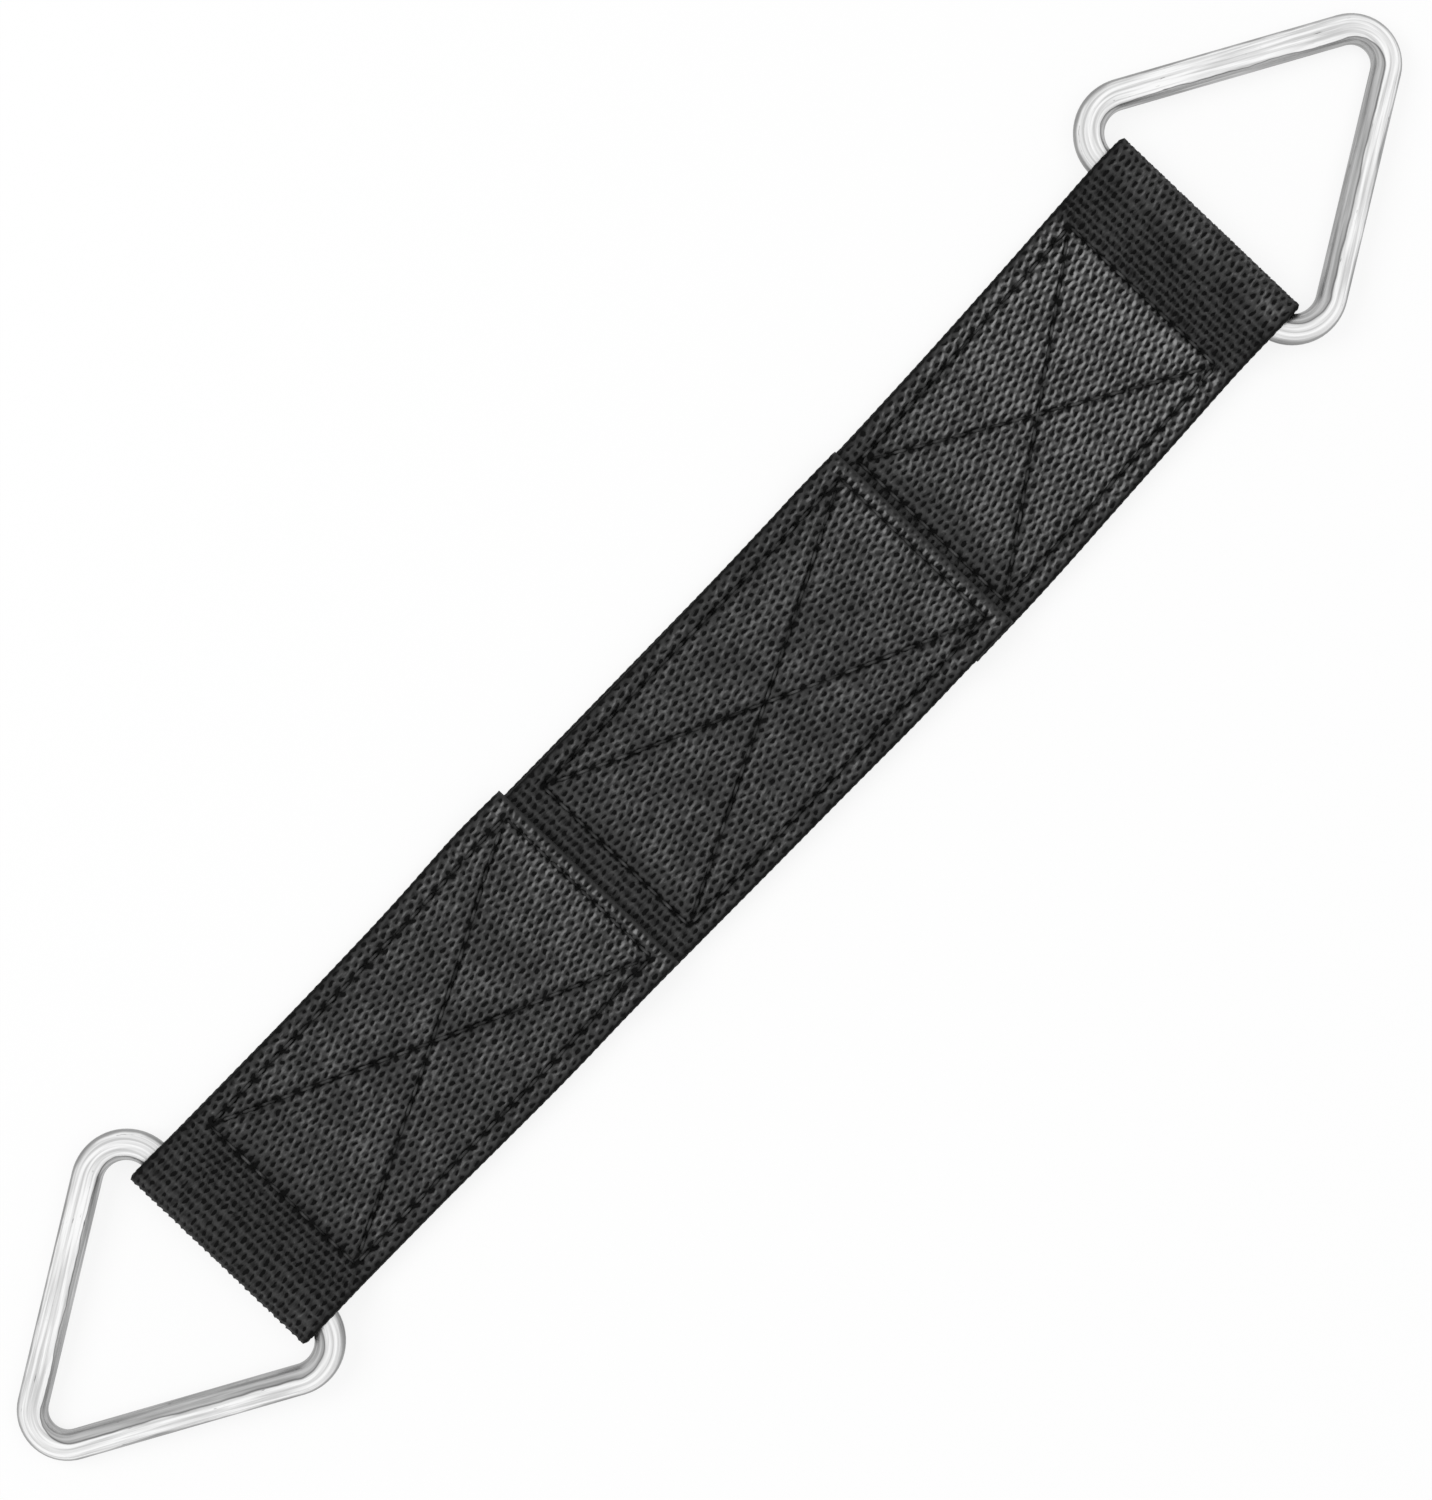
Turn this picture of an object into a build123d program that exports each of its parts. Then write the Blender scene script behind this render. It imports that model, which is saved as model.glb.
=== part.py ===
"""Punching bag hanger: a flat sewn webbing strap with a steel triangle ring held in a sleeve at each end.

The strap lies flat, as it would on a bench. +X runs along it to the upper ring, +Y runs across it and
+Z points up out of its front. The origin is on the ground under the middle of the strap.

The main webbing is one long piece. It starts on the front under the middle webbing, folds round the upper
ring, runs back along the rear, folds round the lower ring and ends on the front in the lower cut end.
"""

import os
from math import asin, atan2, cos, degrees, hypot, pi, radians, tan

from build123d import *

os.makedirs("parts", exist_ok=True)

# Webbing
webbing_width = 50.0
webbing_thickness = 2.0  # over the weave's ridges
weave_pitch = 2.05  # from one crosswise row of the weave to the next
weave_depth = 0.35
layer_gap = 0.15  # air between two sewn layers
layer_bend_radius = 3.0  # where a layer steps over the end of another
strap_length = 293.3  # from fold to fold

# Triangle rings
wire_diameter = 6.4
wire_sides = 8  # the round wire is drawn with this many narrow sides
ring_side = 74.6  # along the wire's centre, corner to corner before rounding
ring_base_bend = 8.3  # centre of the wire, at the two corners beside the webbing
ring_apex_bend = 7.2  # centre of the wire, at the corner that takes the hook

# Sleeves that hold the rings
bar_clearance = 0.3
bar_slack = 1.5  # free room between the bar and the fold
sleeve_length = 17.0  # from the fold to where the two layers meet

# Ends of the front layers, measured from the lower fold
lower_cut_end = 109.2
middle_hidden_end = 98.5
middle_cut_end = 206.3
upper_hidden_end = 195.5
step_length = 6.0  # the slope where a layer steps up over a hidden end
step_lead = 0.5  # from the top of that slope to the hidden end

# Seams: the first and last row of each, measured from the lower fold
lower_seam_rows = (19.0, 106.1)
middle_seam_rows = (115.9, 203.1)
upper_seam_rows = (208.2, strap_length - 20.6)
seam_edge_distance = 4.4  # from the webbing's edge to the side rows
stitch_pitch = 4.1
stitch_gap = 0.6  # between two stitches, where the thread goes down its hole
thread_width = 0.9
thread_height = 0.45
thread_clearance = 0.05
side_row_inset = 0.5  # the side rows start clear of the end rows
diagonal_inset = 2.4  # the diagonals start clear of the corners

# Heights and places that follow from these
wire_radius = wire_diameter / 2
sleeve_radius = wire_radius + bar_clearance
fold_x = strap_length / 2
sleeve_end_x = fold_x - webbing_thickness - sleeve_radius
bar_x = sleeve_end_x - bar_slack
bar_z = webbing_thickness + sleeve_radius
rear_underside = thread_height + 2 * thread_clearance  # the rear stitches clear the ground
rear_top = rear_underside + webbing_thickness
low_underside = rear_top + layer_gap
high_underside = low_underside + webbing_thickness + layer_gap
sleeve_top = bar_z + sleeve_radius
seam_half_width = webbing_width / 2 - seam_edge_distance
stitch_length = stitch_pitch - stitch_gap

# The sleeve's front layer leaves the bar on the line that touches the bar's clearance circle
mouth_x = fold_x - sleeve_length
mouth_distance = hypot(bar_x - mouth_x, bar_z - low_underside)
sleeve_slope = asin(sleeve_radius / mouth_distance) + atan2(bar_z - low_underside, bar_x - mouth_x)
sleeve_peak_x = bar_x - sleeve_radius * tan(sleeve_slope / 2)

# The ring lies with its apex on the ground and its bar in the sleeve
ring_height = ring_side * cos(radians(30))
apex_distance = ring_height - ring_apex_bend  # from the bar's axis to the wire's centre at the apex
ring_tilt = degrees(asin((bar_z - wire_radius) / apex_distance))


def along(distance):
    """X of a place that is measured from the lower fold."""
    return distance - fold_x


# Side view of the smooth inner face of each stretch of webbing, followed with the woven face on the left
lower_step_x = along(middle_hidden_end) - step_lead - step_length
middle_step_x = along(upper_hidden_end) - step_lead - step_length
lower_front = [
    (-sleeve_end_x, sleeve_top),
    (-sleeve_peak_x, sleeve_top),
    (-mouth_x, low_underside),
    (lower_step_x, low_underside),
    (lower_step_x + step_length, high_underside),
    (along(lower_cut_end), high_underside),
]
middle_front = [
    (along(middle_hidden_end), low_underside),
    (middle_step_x, low_underside),
    (middle_step_x + step_length, high_underside),
    (along(middle_cut_end), high_underside),
]
upper_front = [
    (along(upper_hidden_end), low_underside),
    (mouth_x, low_underside),
    (sleeve_peak_x, sleeve_top),
    (sleeve_end_x, sleeve_top),
]
rear = [
    (sleeve_end_x, webbing_thickness),
    (sleeve_peak_x, webbing_thickness),
    (mouth_x, rear_top),
    (-mouth_x, rear_top),
    (-sleeve_peak_x, webbing_thickness),
    (-sleeve_end_x, webbing_thickness),
]


def woven_points(line, rows):
    """Corners of the woven face beside a line: a ridge for each row, with a valley at both ends."""
    points = [line @ 0]
    for index in range(2 * rows + 1):
        place = index / (2 * rows)
        height = webbing_thickness if index % 2 else webbing_thickness - weave_depth
        points.append(line @ place + (line % place).rotate(Axis.Z, 90) * height)
    return points + [line @ 1]


def flat_stretch(corners):
    """Side view of a stretch of webbing that follows the given corners."""
    with BuildSketch(Plane.XZ) as stretch:
        with BuildLine():
            inner = FilletPolyline(*corners, radius=layer_bend_radius)
            Polyline(*woven_points(inner, round(inner.length / weave_pitch)))
        make_face()
    return stretch.sketch


def fold(x, start_angle):
    """Side view of the webbing's half turn round a ring's bar, with a ridge at its outermost point."""
    outer_length = pi * (sleeve_radius + webbing_thickness)
    with BuildSketch(Plane.XZ) as turn:
        with BuildLine():
            inner = CenterArc((x, bar_z), sleeve_radius, start_angle, -180)
            Polyline(*woven_points(inner, 2 * int(outer_length / weave_pitch / 2) + 1))
        make_face()
    return turn.sketch


def front_height(x, step_x):
    """Height of a front layer's ridges, where its underside steps up from step_x on."""
    slope = atan2(high_underside - low_underside, step_length)
    climbed = (x - step_x + webbing_thickness * tan(slope / 2)) / step_length
    return low_underside + webbing_thickness + min(max(climbed, 0), 1) * (high_underside - low_underside)


def lower_height(x):
    return front_height(x, lower_step_x)


def middle_height(x):
    return front_height(x, middle_step_x)


def upper_height(x):
    return low_underside + webbing_thickness


def rear_height(x):
    return rear_underside


def seam_places(rows, height, facing):
    """Places of the stitches of a boxed cross, each turned along its run and tilted with the layer.

    facing is 1 for stitches that lie on top of the layer and -1 for stitches under it.
    """
    left = along(rows[0])
    right = along(rows[1])
    corners = [
        Vector(left, -seam_half_width),
        Vector(left, seam_half_width),
        Vector(right, seam_half_width),
        Vector(right, -seam_half_width),
    ]
    runs = [
        (0, 1, 0),
        (2, 3, 0),
        (1, 2, side_row_inset),
        (3, 0, side_row_inset),
        (0, 2, diagonal_inset),
        (1, 3, diagonal_inset),
    ]
    places = []
    for first, last, inset in runs:
        direction = (corners[last] - corners[first]).normalized()
        length = (corners[last] - corners[first]).length - 2 * inset
        count = round(length / stitch_pitch)
        for index in range(count):
            middle = corners[first] + direction * (inset + (index + 0.5) * length / count)
            reach = direction * (stitch_length / 2)
            rise = (height(middle.X + reach.X) - height(middle.X - reach.X)) / 2
            # where the layer bends up under a stitch, the stitch rides on the bend
            middle_z = max(
                height(middle.X + share * reach.X) - share * rise for share in (-1, -0.5, 0, 0.5, 1)
            )
            slope = Vector(reach.X, reach.Y, rise)
            across = Vector(0, 0, facing).cross(slope)
            seat = Vector(middle.X, middle.Y, middle_z + facing * thread_clearance)
            places.append(Plane(origin=seat, x_dir=slope, z_dir=slope.cross(across)).location)
    return places


with BuildPart() as main_webbing:
    extrude(flat_stretch(upper_front), amount=webbing_width / 2, both=True)
    extrude(fold(sleeve_end_x, 90), amount=webbing_width / 2, both=True)
    extrude(flat_stretch(rear), amount=webbing_width / 2, both=True)
    extrude(fold(-sleeve_end_x, 270), amount=webbing_width / 2, both=True)
    extrude(flat_stretch(lower_front), amount=webbing_width / 2, both=True)
main_webbing.part.label = "main_webbing"
export_step(main_webbing.part, "parts/main_webbing.step")

with BuildPart() as middle_webbing:
    extrude(flat_stretch(middle_front), amount=webbing_width / 2, both=True)
middle_webbing.part.label = "middle_webbing"
export_step(middle_webbing.part, "parts/middle_webbing.step")

# One stitch: a short peaked length of thread that lies along X on the face of the webbing
with BuildPart() as stitch:
    with BuildSketch(Plane.YZ.offset(-stitch_length / 2)):
        with BuildLine():
            Polyline((-thread_width / 2, 0), (thread_width / 2, 0), (0, thread_height), close=True)
        make_face()
    extrude(amount=stitch_length)

# Each seam is a lockstitch: the needle thread shows on the front, the bobbin thread on the rear
with BuildPart() as lower_needle_thread:
    with Locations(*seam_places(lower_seam_rows, lower_height, 1)):
        add(stitch.part)
lower_needle_thread.part.label = "lower_needle_thread"
export_step(lower_needle_thread.part, "parts/lower_needle_thread.step")

with BuildPart() as middle_needle_thread:
    with Locations(*seam_places(middle_seam_rows, middle_height, 1)):
        add(stitch.part)
middle_needle_thread.part.label = "middle_needle_thread"
export_step(middle_needle_thread.part, "parts/middle_needle_thread.step")

with BuildPart() as upper_needle_thread:
    with Locations(*seam_places(upper_seam_rows, upper_height, 1)):
        add(stitch.part)
upper_needle_thread.part.label = "upper_needle_thread"
export_step(upper_needle_thread.part, "parts/upper_needle_thread.step")

with BuildPart() as lower_bobbin_thread:
    with Locations(*seam_places(lower_seam_rows, rear_height, -1)):
        add(stitch.part)
lower_bobbin_thread.part.label = "lower_bobbin_thread"
export_step(lower_bobbin_thread.part, "parts/lower_bobbin_thread.step")

with BuildPart() as middle_bobbin_thread:
    with Locations(*seam_places(middle_seam_rows, rear_height, -1)):
        add(stitch.part)
middle_bobbin_thread.part.label = "middle_bobbin_thread"
export_step(middle_bobbin_thread.part, "parts/middle_bobbin_thread.step")

with BuildPart() as upper_bobbin_thread:
    with Locations(*seam_places(upper_seam_rows, rear_height, -1)):
        add(stitch.part)
upper_bobbin_thread.part.label = "upper_bobbin_thread"
export_step(upper_bobbin_thread.part, "parts/upper_bobbin_thread.step")

# The ring's plane starts at the bar's axis, points at the apex and is tilted until the apex is on the ground
lower_ring_plane = Plane(
    origin=(-bar_x, 0, bar_z),
    x_dir=Vector(-1, 0, 0).rotate(Axis.Y, -ring_tilt),
    z_dir=Vector(0, 0, 1).rotate(Axis.Y, -ring_tilt),
)
with BuildPart() as lower_ring:
    with BuildLine(lower_ring_plane) as wire:
        FilletPolyline(
            (0, -ring_side / 2),
            (ring_height, 0),
            (0, ring_side / 2),
            radius=(ring_base_bend, ring_apex_bend, ring_base_bend),
            close=True,
        )
    with BuildSketch(Plane(origin=wire.line @ 0, x_dir=lower_ring_plane.z_dir, z_dir=wire.line % 0)):
        RegularPolygon(wire_radius, wire_sides)
    sweep(path=wire.line)
lower_ring.part.label = "lower_ring"
export_step(lower_ring.part, "parts/lower_ring.step")

with BuildPart() as upper_ring:
    mirror(lower_ring.part, about=Plane.YZ)
upper_ring.part.label = "upper_ring"
export_step(upper_ring.part, "parts/upper_ring.step")
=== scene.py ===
# %% [markdown]
# # A sewn hanger strap with two triangle rings
#
# The strap carries a heavy bag: one long piece of black webbing is folded round a steel ring at each end and
# sewn flat, with a second, shorter piece let in on the front. The frame gives every solid its place, and this
# notebook dresses it: woven webbing, sewing thread and zinc-plated wire, each made at its real size.

# %% Load the frame
import math

import bpy
import numpy as np
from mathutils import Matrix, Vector


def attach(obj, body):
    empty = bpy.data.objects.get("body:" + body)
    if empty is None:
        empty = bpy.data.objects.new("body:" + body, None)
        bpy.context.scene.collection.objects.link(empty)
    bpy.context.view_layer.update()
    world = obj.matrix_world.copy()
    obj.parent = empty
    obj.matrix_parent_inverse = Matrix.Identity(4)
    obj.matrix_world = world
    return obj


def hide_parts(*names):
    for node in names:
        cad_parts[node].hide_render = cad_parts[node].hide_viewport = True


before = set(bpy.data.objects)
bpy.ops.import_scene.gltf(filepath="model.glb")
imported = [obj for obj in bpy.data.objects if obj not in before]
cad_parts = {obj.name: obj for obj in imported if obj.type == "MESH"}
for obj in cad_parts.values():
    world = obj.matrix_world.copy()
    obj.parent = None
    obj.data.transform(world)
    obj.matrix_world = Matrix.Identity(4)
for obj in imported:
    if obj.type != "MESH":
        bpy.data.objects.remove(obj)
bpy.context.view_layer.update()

MM = 0.001
print("nodes:", sorted(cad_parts))

# %% [markdown]
# ## Camera
#
# The strap is seen from straight above, turned so that it runs from the lower left corner to the upper right.
# A long lens from a little under a metre keeps the two rings the same size. The long side of the picture
# takes in 307 mm, which is the sensor's 36 mm times the distance over the focal length.

# %% Camera
FOCAL_LENGTH = 100
SENSOR_WIDTH = 36
CAMERA_HEIGHT = 854

camera_data = bpy.data.cameras.new("camera")
camera_data.lens = FOCAL_LENGTH
camera_data.sensor_width = SENSOR_WIDTH
camera = bpy.data.objects.new("camera", camera_data)
camera.location = (-1.0 * MM, -2.8 * MM, CAMERA_HEIGHT * MM)
camera.rotation_euler = (0, 0, math.radians(-46.36))
bpy.context.scene.collection.objects.link(camera)
bpy.context.scene.camera = camera
print("picture height, mm:", round(SENSOR_WIDTH / FOCAL_LENGTH * CAMERA_HEIGHT, 1))

# %% [markdown]
# ## Colours and nodes
#
# Colours are written as the hex values that a picture shows. Shaders work on linear light, so one function
# turns one into the other. Every node is added by one small function, and the kinds that come back often get
# a short name of their own.


# %% Colours
def linear(hex_colour):
    """Linear RGBA of an sRGB hex colour."""
    parts = [int(hex_colour[i : i + 2], 16) / 255 for i in (1, 3, 5)]
    return tuple(p / 12.92 if p <= 0.04045 else ((p + 0.055) / 1.055) ** 2.4 for p in parts) + (1.0,)


print("a mid grey, linear:", [round(c, 4) for c in linear("#434343")])


# %% Nodes
def add_node(tree, kind, inputs=None, **settings):
    """Adds a node. inputs maps a socket's name or number to a value or to another node's output."""
    node = tree.nodes.new(kind)
    for name, value in settings.items():
        setattr(node, name, value)
    for key, value in (inputs or {}).items():
        socket = node.inputs[key]
        if isinstance(value, bpy.types.NodeSocket):
            tree.links.new(value, socket)
        else:
            socket.default_value = value
    return node


def result(tree, kind, inputs=None, **settings):
    """Adds a node and returns its first output."""
    return add_node(tree, kind, inputs, **settings).outputs[0]


def math_node(tree, operation, *values):
    """One Math node's result."""
    return result(tree, "ShaderNodeMath", dict(enumerate(values)), operation=operation)


def vector_node(tree, operation, *values):
    """One Vector Math node's result."""
    return result(tree, "ShaderNodeVectorMath", dict(enumerate(values)), operation=operation)


def dot(tree, vector, weights):
    """The dot product of a vector with fixed weights."""
    node = add_node(tree, "ShaderNodeVectorMath", {0: vector, 1: weights}, operation="DOT_PRODUCT")
    return node.outputs["Value"]


def scaled(tree, vector, amount):
    """A vector or a colour times a number."""
    return result(tree, "ShaderNodeVectorMath", {0: vector, "Scale": amount}, operation="SCALE")


def noise(tree, place, scale, detail):
    """A noise texture's outputs: its value and its colour."""
    return add_node(tree, "ShaderNodeTexNoise", {"Vector": place, "Scale": scale, "Detail": detail}).outputs


def spread(tree, value, low, high, at_low, at_high):
    """Maps the range from low to high onto the one from at_low to at_high, and stops at its ends."""
    return result(tree, "ShaderNodeMapRange", {"Value": value, 1: low, 2: high, 3: at_low, 4: at_high})


def colour_ramp(tree, value, *stops):
    """A colour for each value. Every stop is a place and an sRGB hex colour, from the lowest place up."""
    node = add_node(tree, "ShaderNodeValToRGB", {0: value})
    elements = node.color_ramp.elements
    elements[0].position = stops[0][0]
    elements[0].color = linear(stops[0][1])
    elements[1].position = stops[-1][0]
    elements[1].color = linear(stops[-1][1])
    for place, colour in stops[1:-1]:
        elements.new(place).color = linear(colour)
    return node.outputs[0]


def start_material(material):
    """Clears a material's nodes and returns its tree and its surface shader."""
    material.use_nodes = True
    tree = material.node_tree
    tree.nodes.clear()
    shader = add_node(tree, "ShaderNodeBsdfPrincipled")
    add_node(tree, "ShaderNodeOutputMaterial", {"Surface": shader.outputs[0]})
    return tree, shader


print("node helpers ready")

# %% [markdown]
# ## The webbing's path
#
# Seen from the side, the main webbing is one line: it starts under the middle piece, runs to the right, turns
# round the right ring's bar, comes back along the rear, turns round the left ring's bar and ends on the
# front. The line is that of the smooth inner face, and the woven face is always on its left. Corners get the
# radius that stiff 2 mm webbing bends to.

# %% Path of the inner face
THICKNESS = 2.0
FOLD_X = 141.15  # centre of each fold
FOLD_Z = 5.5
FOLD_RADIUS = 3.5  # inner face
FOLD_TOP = FOLD_Z + FOLD_RADIUS
FOLD_FOOT = FOLD_Z - FOLD_RADIUS
PEAK_X = 138.54  # a sleeve's slope runs from its mouth up to its peak
MOUTH_X = 129.65
FRONT_LOW = 2.70  # a front layer on the rear one, and where it lies on a hidden end
FRONT_HIGH = 4.85
REAR_TOP = 2.55
CUT_END = {"lower": -37.45, "middle": 59.65}
HIDDEN_END = {"main": 48.85, "middle": -48.15}
STEP_UP = {"lower": -54.65, "middle": 42.35}  # where a front layer starts to climb over a hidden end
STEP_LENGTH = 6.0
# a ring's wire and its corners, along the wire's centre
WIRE_RADIUS = 3.2
RING_SIDE = 74.6  # between two corners, as if they were sharp
BASE_BEND = 8.3  # radius of the two corners beside the bar
BAR_STRAIGHT = RING_SIDE / 2 - BASE_BEND / math.tan(math.radians(30))  # half of the bar's straight run
INNER_BEND = BASE_BEND - WIRE_RADIUS  # radius on the inside of those two corners


def rounded(corners, radius=3.0, step=0.3):
    """Points of a line through the corners, with every inner corner rounded."""
    corners = [np.array(c, float) for c in corners]
    points = [corners[0]]
    for before, corner, after in zip(corners, corners[1:], corners[2:]):
        a = (before - corner) / np.linalg.norm(before - corner)
        b = (after - corner) / np.linalg.norm(after - corner)
        half = math.acos(np.clip(a @ b, -1, 1)) / 2
        reach = radius / math.tan(half)
        middle = corner + (a + b) / np.linalg.norm(a + b) * radius / math.sin(half)
        turn = math.pi - 2 * half
        first = corner + a * reach - middle
        last = corner + b * reach - middle
        count = max(3, math.ceil(radius * turn / step))
        for k in range(count + 1):
            share = k / count
            swing = first * math.sin((1 - share) * turn) + last * math.sin(share * turn)
            points.append(middle + swing / math.sin(turn))
    points.append(corners[-1])
    return points


def half_turn(x, start_angle, steps=40):
    """Points of a half turn, clockwise, of the inner face round a bar."""
    angles = np.radians(start_angle) - np.pi * np.arange(1, steps) / steps
    return [np.array((x + FOLD_RADIUS * math.cos(a), FOLD_Z + FOLD_RADIUS * math.sin(a))) for a in angles]


def front_with_step(layer, before, end):
    """The last corners of a front layer that climbs over a hidden end."""
    foot = STEP_UP[layer]
    return [*before, (foot, FRONT_LOW), (foot + STEP_LENGTH, FRONT_HIGH), (end, FRONT_HIGH)]


upper_front = [(HIDDEN_END["main"], FRONT_LOW), (MOUTH_X, FRONT_LOW), (PEAK_X, FOLD_TOP), (FOLD_X, FOLD_TOP)]
rear = [(FOLD_X, FOLD_FOOT), (PEAK_X, FOLD_FOOT), (MOUTH_X, REAR_TOP)]
rear += [(-x, z) for x, z in reversed(rear)]
lower_sleeve = [(-FOLD_X, FOLD_TOP), (-PEAK_X, FOLD_TOP), (-MOUTH_X, FRONT_LOW)]
lower_front = front_with_step("lower", lower_sleeve, CUT_END["lower"])
middle_front = front_with_step("middle", [(HIDDEN_END["middle"], FRONT_LOW)], CUT_END["middle"])

main_line = rounded(upper_front) + half_turn(FOLD_X, 90) + rounded(rear)
main_line = np.array(main_line + half_turn(-FOLD_X, 270) + rounded(lower_front))
middle_line = np.array(rounded(middle_front))
print("points of the main line and of the middle line:", len(main_line), len(middle_line))

# %% [markdown]
# ## How the layers lie
#
# Sewn webbing is never quite straight. Each stretch lies a millimetre or more to one side of the centre line,
# and the pieces differ a little in width. A third table paints light and shade into the webbing's colour: a
# painted highlight on the grains where the webbing is pulled tight, and painted shade where it slopes away or
# lies in a corner. Each table gives places along the strap and the values there.

# %% Sideways shift, width, and painted light and shade
SHIFTS = {
    "lower": ([-145, -131, -110, -90, -70, -49, -39], [-1.1, -1.4, -1.6, -1.9, -2.1, -1.6, -1.9]),
    "middle": ([-48, -35, -29, -8, 12, 33, 53, 60], [-2.6, -2.8, -3.0, -3.3, -3.4, -3.6, -3.4, -3.6]),
    "upper": ([49, 62, 73, 94, 114, 132, 146], [-3.9, -3.9, -3.7, -3.0, -2.3, -1.6, -1.5]),
    "rear": (
        [-145, -110, -70, -29, 33, 62, 94, 114, 132],
        [-1.1, -1.6, -2.1, -2.8, -3.4, -3.6, -3.0, -2.3, -1.6],
    ),
}
WIDTHS = {
    "lower": ([-146, -110, -90, -70, -49, -39], [49.2, 49.2, 49.8, 50.4, 51.2, 50.6]),
    "middle": ([-48, -29, -8, 12, 33, 60], [49.2, 49.2, 49.4, 49.8, 50.4, 50.4]),
    "upper": ([49, 73, 94, 125, 135, 143, 147], [50.2, 50.2, 50.0, 50.0, 50.2, 50.0, 49.6]),
    "rear": ([-146, 0, 146], [49.4, 49.8, 50.0]),
}
# painted light and shade, from 1, a painted highlight where the webbing is pulled tight over a hidden end,
# down to -1, painted shade where it slopes away into a sleeve or lies in the corner below a cut end
LIGHT_AND_SHADE = {
    "lower": ([-147, -140, -130, -122, -85, -60, -44, -38], [-0.6, -0.9, -0.8, 0.0, 0.0, 0.05, 0.25, 0.8]),
    "middle": ([-48, -34, -30, -25, 20, 40, 56, 60], [-0.9, -0.9, -0.5, 0.0, 0.0, 0.05, 0.3, 0.9]),
    "upper": (
        [60, 64, 69, 95, 125, 127, 138, 140, 147],
        [-0.5, -0.4, 0.2, 0.6, 0.85, -1.0, -0.9, -0.05, -0.05],
    ),
    "rear": ([-147, 147], [0.0, 0.0]),
}


def look_up(table, layer, x):
    """A table's value, in the row of a layer, at x."""
    return float(np.interp(x, *table[layer]))


print("shift of the upper panel at 100 mm:", round(look_up(SHIFTS, "upper", 100), 2), "mm")

# %% [markdown]
# ## Seams
#
# Three boxed crosses hold the layers: a rectangle with both diagonals, the usual seam of a load strap. Each
# is lockstitched, so that the rear shows the same lines as the front. The lines are kept in the webbing's own
# flat measure: x along the strap, y across it from the webbing's centre line.

# %% Seam lines
STITCH_PITCH = 4.1
SEAM_HALF_WIDTH = 20.6
SEAMS = {
    "lower": (-127.65, -40.55),
    "middle": (-30.75, 56.45),
    "upper": (61.55, 126.05),
}
SIDE_INSET = 0.5  # how far a long side and a diagonal stay away from the corners
DIAGONAL_INSET = 2.4
LINE_REACH = 0.55  # how far a seam and its holes press the webbing down beside them
HOLE_ALONG = 1.0
HOLE_ACROSS = 0.6
LOOSEST = 0.45  # a hole's tightness is between this and 1
SEAM_SEED = 11


def seam_runs(name):
    """Start, end and number of stitches of the six runs of one boxed cross."""
    left, right = SEAMS[name]
    wide = SEAM_HALF_WIDTH
    corners = [np.array(c) for c in ((left, -wide), (left, wide), (right, wide), (right, -wide))]
    runs = []
    for first, last, inset in (
        (0, 1, 0),
        (2, 3, 0),
        (1, 2, SIDE_INSET),
        (3, 0, SIDE_INSET),
        (0, 2, DIAGONAL_INSET),
        (1, 3, DIAGONAL_INSET),
    ):
        along = corners[last] - corners[first]
        length = np.linalg.norm(along)
        along /= length
        start, end = corners[first] + along * inset, corners[last] - along * inset
        runs.append((start, end, round((length - 2 * inset) / STITCH_PITCH)))
    return runs


def seam_marks(x, y):
    """How near each place is to a seam line and to a needle hole, both from 0 to 1."""
    line, hole = np.zeros(len(x)), np.zeros(len(x))
    uneven = np.random.default_rng(SEAM_SEED)
    for name in SEAMS:
        for start, end, count in seam_runs(name):
            span = end - start
            length = np.linalg.norm(span)
            span = span / length
            along = np.clip((x - start[0]) * span[0] + (y - start[1]) * span[1], 0, length)
            away = np.hypot(x - start[0] - along * span[0], y - start[1] - along * span[1])
            line = np.maximum(line, np.exp(-((away / LINE_REACH) ** 2)))
            # a hole is drawn out along its run, and some are pulled tighter than others
            nearest = np.round(along / length * count).astype(int)
            tightness = uneven.uniform(LOOSEST, 1.0, count + 1)
            apart = np.hypot((along - nearest * length / count) / HOLE_ALONG, away / HOLE_ACROSS)
            hole = np.maximum(hole, tightness[nearest] * np.exp(-(apart**2)))
    return line, hole


print("stitches:", {name: sum(run[2] for run in seam_runs(name)) for name in SEAMS})

# %% [markdown]
# ## The webbing, before its weave
#
# Each length of webbing is lofted as a closed band: a fine grid on the woven face, rounded edges, and a
# coarse inner face that only shows inside the sleeves. The grid is fitted to the weave, three rows of points
# to each crosswise row and four points to each pair of yarns. The band keeps its own flat measure as an
# attribute, so the weave follows it round the folds.

# %% Measures of the webbing
ROW_PITCH = 2.05  # one crosswise row of the weave
YARN_PITCH = 0.82  # from one lengthwise yarn to the next
FACE_STEPS = 4  # points for each pair of yarns
ROW_STEPS = 3  # points for each row
HALF_STOCK = 25  # half of the webbing's nominal width
EDGE_BULGE = 0.85  # how far the rounded selvedge stands out
EDGE_RIPPLE = 0.06  # how far each row pushes it in and out
SELVEDGE = 1.9  # how far in from the edge the grains have their full height
END_PLACES = np.array([0.0, 0.15, 0.35])  # a cut end is melted round: places near it
END_SHARES = np.array([0.45, 0.78, 0.94])  # and the share of the full thickness that it has there
END_ROUND = 0.55  # full thickness from here on
SLEEVE_START = 129  # no seam marks from here on
SMOOTHING = 25  # an odd number of points over which shift and width are evened out


def evened(values):
    """Values along the band, each averaged with its neighbours."""
    padded = np.pad(values, SMOOTHING // 2, mode="edge")
    return np.convolve(padded, np.ones(SMOOTHING) / SMOOTHING, mode="valid")


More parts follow.
